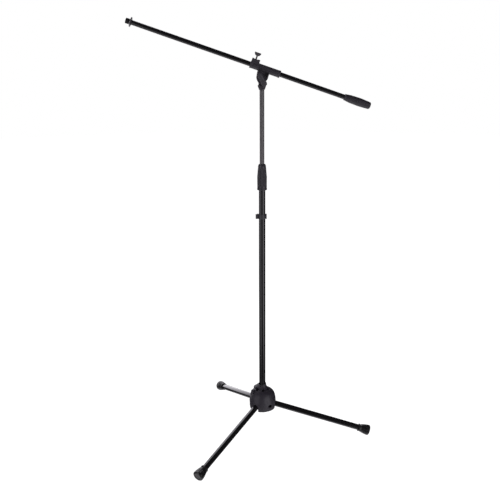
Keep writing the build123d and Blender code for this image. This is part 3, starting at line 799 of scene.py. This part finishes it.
def make_wing_screw():
    """A cast wing with sunk faces on a threaded stem."""
    place = joint_place("wing_screw_turn", BOOM.along)
    s0, s1, _ = place.measure("wing_head")
    stem0, stem1, stem_r = place.measure("wing_stem")
    half, thick = 9.8, 2.2
    across = Place(place.origin, place.side, place.up)
    side = across.side.dot(place.along)

    def flat(u, s):
        return (u, side * s)

    outline = [
        flat(-4.0, s0),
        flat(4.0, s0),
        flat(half - 2.4, s0 + 2.2),
        flat(half, s1 - 2.4),
        flat(half - 0.8, s1),
        flat(0.8 - half, s1),
        flat(-half, s1 - 2.4),
        flat(2.4 - half, s0 + 2.2),
    ]
    plate = prism("plate", across, outline, -thick, thick)
    outline = rounded([(s0, 0, 0), (s0, 3.9, 0.6), (s0 + 4, 3.3, 1), (s0 + 6.5, 0, 0)], 4)
    hub = turned("hub", place, outline, 48)
    cuts = []
    for near, far in ((1.2, 4.0), (-4.0, -1.2)):
        corners = [(-4.6, s0 + 2.6), (4.6, s0 + 2.6), (half - 2.4, s1 - 2.2), (2.4 - half, s1 - 2.2)]
        sunk = [flat(u, s) for u, s in corners]
        cuts.append(prism("sunk", across, sunk, near, far))
    mesh = moulded("wing_head_skin", [plate, hub], cuts, 0.22, 4, 0.5)
    stand_for("wing_head_skin", mesh, "wing_head")
    pitch, depth = 1.0, 0.35
    outline = rounded([(stem0, 0, 0), (stem0, stem_r, 0.5), (stem1, stem_r, 0), (stem1, 0, 0)], 3)
    shape = threaded(pitch, depth, stem_r, stem0, stem1)
    mesh = turned("wing_stem_skin", place, divided(outline, pitch / 8), 48, shape)
    stand_for("wing_stem_skin", mesh, "wing_stem")


# ---------------------------------------------------------------- boom ends


STUD_R = 4.76  # 3/8 inch across


def make_boom_stud():
    """The boom's end plug: a flange against the tube's end and a stud with 16 turns to the inch."""
    s0, s1, flange = BOOM.measure("boom_end_stud")
    _, tube_end, tube_r = BOOM.measure("boom_tube")
    inner = tube_r - TUBE_WALL
    neck = tube_end + 2.2
    outline = rounded(
        [
            (s0, 0, 0),
            (s0, inner, 0.4),
            (tube_end, inner, 0),
            (tube_end, flange, 0.5),
            (neck, flange, 0.6),
            (neck, STUD_R, 0),
            (s1, STUD_R, 0.8),
            (s1, 0, 0),
        ],
        4,
    )
    shape = threaded(25.4 / 16, 0.8, STUD_R, neck, s1)

    def stud_shape(s, r, a):
        return shape(s, r, a) if s > neck + 0.1 else r

    mesh = turned("boom_end_stud_skin", BOOM, divided(outline, 0.25), 72, stud_shape)
    stand_for("boom_end_stud_skin", mesh, "boom_end_stud")


def make_lock_ring():
    """A thin bright ring with a straight knurl on its rim and a shallow step on its faces."""
    s0, s1, r = BOOM.measure("lock_ring")
    hole = STUD_R + 0.05
    outline = rounded(
        [
            (s0, hole, 0.2),
            (s0, r - 3.0, 0.2),
            (s0 + 0.4, r - 2.6, 0.2),
            (s0 + 0.4, r - 1.2, 0.2),
            (s0 + 1.0, r, 0.2),
            (s1 - 1.0, r, 0.2),
            (s1 - 0.4, r - 1.2, 0.2),
            (s1 - 0.4, r - 2.6, 0.2),
            (s1, r - 3.0, 0.2),
            (s1, hole, 0.2),
        ],
        3,
    )
    teeth = 60

    def shape(s, radius, a):
        rim = max(0.0, min(1.0, (radius - (r - 0.9)) / 0.5))
        return radius - 0.45 * rim * (0.5 + 0.5 * cos(teeth * a))

    mesh = turned("lock_ring_skin", BOOM, divided(outline, 0.8), 480, shape)
    stand_for("lock_ring_skin", mesh, "lock_ring")


def make_adapter():
    """The 5/8 inch adapter: a coarse helical thread at 27 turns to the inch, open down its middle."""
    s0, s1, r = BOOM.measure("thread_adapter")
    hole = STUD_R
    pitch, depth = 25.4 / 27, 0.55
    outline = rounded([(s0, hole, 0.3), (s0, r, 0.5), (s1, r, 0.9), (s1, hole, 0.5)], 4)
    shape = threaded(pitch, depth, r, s0, s1)
    mesh = turned("thread_adapter_skin", BOOM, divided(outline, pitch / 8), 96, shape)
    stand_for("thread_adapter_skin", mesh, "thread_adapter")


def make_counterweight_grip():
    """The barrel grip: a lip and a groove at its mouth, a swelling body and a rounded end."""
    s0, s1, r = BOOM.measure("counterweight_grip")
    core0, core1, core_r = BOOM.measure("counterweight_core")
    tube_r = BOOM.measure("boom_tube")[2]
    outline = rounded(
        [
            (s1, tube_r, 0.4),
            (s1, 8.5, 0.7),
            (s1 - 1.0, 9.4, 0.6),
            (s1 - 3.0, 9.5, 0.6),
            (s1 - 3.8, 8.9, 0.5),
            (s1 - 5.0, 9.6, 0.8),
            (s1 - 18, 11.3, 12),
            (s1 - 46, r + 0.2, 24),
            (s0 + 14, 11.1, 12),
            (s0 + 3.0, 10.3, 4),
            (s0, 7.4, 3.4),
            (s0, 0, 0),
            (core0, 0, 0),
            (core0, core_r, 0),
            (core1, core_r, 0),
            (core1, tube_r, 0),
        ],
        8,
    )
    mesh = turned("counterweight_grip_skin", BOOM, divided(outline, 2.0), 128)
    stand_for("counterweight_grip_skin", mesh, "counterweight_grip")


# ---------------------------------------------------------------- studio


def make_floor():
    """A plain white floor, bright of its own, so that only faint contact shadows show."""
    bm = bmesh.new()
    bmesh.ops.create_circle(bm, cap_ends=True, segments=96, radius=9)
    mesh = bpy.data.meshes.new("floor")
    bm.to_mesh(mesh)
    bm.free()
    floor = bpy.data.objects.new("floor", mesh)
    bpy.context.scene.collection.objects.link(floor)
    material = bpy.data.materials.new("floor")
    material.use_nodes = True
    shader = material.node_tree.nodes["Principled BSDF"]
    shader.inputs["Base Color"].default_value = (0.4, 0.4, 0.4, 1)
    shader.inputs["Emission Color"].default_value = (1, 1, 1, 1)
    shader.inputs["Emission Strength"].default_value = 0.99
    shader.inputs["Roughness"].default_value = 0.9
    shader.inputs["Specular IOR Level"].default_value = 0.0
    mesh.materials.append(material)
    floor.visible_glossy = False


class Sky:
    """The studio around the object: each kind of ray sees a strength and a tint of its own."""

    def __init__(self):
        world = bpy.data.worlds.new("studio")
        world.use_nodes = True
        self.tree = world.node_tree
        direction = self.tree.nodes.new("ShaderNodeTexCoord").outputs["Generated"]
        split = self.tree.nodes.new("ShaderNodeSeparateXYZ")
        self.tree.links.new(direction, split.inputs["Vector"])
        self.x, self.y, self.z = split.outputs
        bpy.context.scene.world = world

    def maths(self, operation, *values):
        node = self.tree.nodes.new("ShaderNodeMath")
        node.operation = operation
        for value, socket in zip(values, node.inputs):
            if isinstance(value, (int, float)):
                socket.default_value = value
            else:
                self.tree.links.new(value, socket)
        return node.outputs["Value"]

    def rise(self, value, start, end):
        """0 before start and 1 after end, with a soft step between."""
        node = self.tree.nodes.new("ShaderNodeMapRange")
        node.interpolation_type = "SMOOTHSTEP"
        node.inputs["From Min"].default_value = start
        node.inputs["From Max"].default_value = end
        self.tree.links.new(value, node.inputs["Value"])
        return node.outputs["Result"]

    def panel(self, azimuth, half_width, low, high, strength):
        """A soft-edged light panel; azimuth is counted from -Y towards +X, in degrees."""
        turn = self.maths("ARCTAN2", self.x, self.maths("MULTIPLY", self.y, -1))
        away = self.maths("ABSOLUTE", self.maths("SUBTRACT", turn, radians(azimuth)))
        across = self.rise(away, radians(half_width), radians(half_width * 0.5))
        above, below = self.rise(self.z, low - 0.15, low), self.rise(self.z, high + 0.15, high)
        up = self.maths("MULTIPLY", above, below)
        return self.maths("MULTIPLY", self.maths("MULTIPLY", across, up), strength)

    def spot(self, towards, outer, inner, strength):
        """A round soft-edged lamp; outer and inner are half angles in degrees."""
        x, y, z = [self.maths("MULTIPLY", a, b) for a, b in zip((self.x, self.y, self.z), towards)]
        near = self.maths("ADD", self.maths("ADD", x, y), z)
        return self.maths("MULTIPLY", self.rise(near, cos(radians(outer)), cos(radians(inner))), strength)

    def finish(self, seen, diffuse, glossy):
        """Sets what the camera, matt surfaces and glossy surfaces see."""
        path = self.tree.nodes.new("ShaderNodeLightPath")
        level = diffuse
        for ray, value in (("Is Glossy Ray", glossy), ("Is Camera Ray", seen)):
            mix = self.tree.nodes.new("ShaderNodeMix")
            self.tree.links.new(path.outputs[ray], mix.inputs[0])
            for socket, part in ((mix.inputs[2], level), (mix.inputs[3], value)):
                if isinstance(part, (int, float)):
                    socket.default_value = part
                else:
                    self.tree.links.new(part, socket)
            level = mix.outputs[0]
        self.tree.links.new(level, self.tree.nodes["Background"].inputs["Strength"])
        tint = self.tree.nodes.new("ShaderNodeMix")
        tint.data_type = "RGBA"
        tint.inputs[6].default_value, tint.inputs[7].default_value = (1.0, 0.97, 1.03, 1), (1, 1, 1, 1)
        self.tree.links.new(path.outputs["Is Camera Ray"], tint.inputs[0])
        self.tree.links.new(tint.outputs[2], self.tree.nodes["Background"].inputs["Color"])


def make_sky():
    """White to the camera; matt surfaces see a room that is bright low down and dark overhead.

    Glossy surfaces see a dark room with three light panels at the front, a soft lamp high
    behind the object, a pale wall low behind it on the left and a pale floor under it.
    """
    sky = Sky()
    wall = sky.maths("MULTIPLY", sky.rise(sky.y, 0.3, 0.7), sky.rise(sky.x, 0.25, -0.1))
    height = sky.maths("MULTIPLY", sky.rise(sky.z, 0.45, 0.25), sky.rise(sky.z, -0.3, -0.08))
    glossy = sky.maths("MULTIPLY", sky.maths("MULTIPLY", wall, height), 2.1)
    for part in (
        sky.maths("MULTIPLY", sky.rise(sky.z, -0.5, -0.85), 0.85),
        sky.spot((-0.25, 0.58, 0.775), 24, 15, 2.8),
        sky.panel(-46, 22, -0.42, 0.6, 1.35),
        sky.panel(48, 18, -0.42, 0.35, 2.0),
        sky.panel(26, 12, -0.3, -0.05, 0.8),
    ):
        glossy = sky.maths("ADD", glossy, part)
    level = sky.maths("MULTIPLY_ADD", sky.rise(sky.z, 0.45, -0.1), 0.75, 0.05)
    sky.finish(seen=1.0, diffuse=level, glossy=sky.maths("ADD", glossy, 0.04))


def make_light(name, place, aim, size, power):
    """A soft lamp that shows in no reflection."""
    light = bpy.data.lights.new(name, "AREA")
    light.shape = "RECTANGLE"
    light.size, light.size_y = size
    light.energy = power
    lamp = bpy.data.objects.new(name, light)
    lamp.location = place
    lamp.rotation_mode = "QUATERNION"
    lamp.rotation_quaternion = (Vector(aim) - Vector(place)).to_track_quat("-Z", "Y")
    lamp.visible_glossy = False
    bpy.context.scene.collection.objects.link(lamp)


def make_camera():
    """The photo's view: far enough to see the whole stand, looking down a little."""
    data = bpy.data.cameras.new("camera")
    data.lens, data.sensor_width = 52.85, 36.0
    data.clip_start, data.clip_end = 0.05, 60
    camera = bpy.data.objects.new("camera", data)
    pan, tilt, roll = radians(-0.982), radians(-15.38), radians(-0.35)
    ahead = Vector((sin(pan) * cos(tilt), cos(pan) * cos(tilt), sin(tilt)))
    level = ahead.cross(Vector((0, 0, 1))).normalized()
    above = level.cross(ahead)
    right = level * cos(roll) + above * sin(roll)
    up = above * cos(roll) - level * sin(roll)
    turn = Matrix((right, up, -ahead)).transposed()
    camera.matrix_world = Matrix.Translation((0, -2.187, 1.225)) @ turn.to_4x4()
    bpy.context.scene.collection.objects.link(camera)
    bpy.context.scene.camera = camera


# ---------------------------------------------------------------- making

make_tubes()
for side in LEGS:
    make_foot(side)
make_housing()
make_base_knob()
make_clip()
make_clutch_grip()
make_joint_base()
make_handle()
make_sleeve()
make_wing_screw()
make_boom_stud()
make_lock_ring()
make_adapter()
make_counterweight_grip()
finish_cad_nodes()

make_floor()
make_sky()
make_light("left", (-1.8, -1.6, 1.2), (0, 0, 0.7), (1.2, 1.8), 36)
make_light("right", (2.0, -1.3, 1.25), (0, 0, 0.8), (0.7, 0.9), 36)
make_camera()
bpy.context.scene.view_settings.view_transform = "Standard"
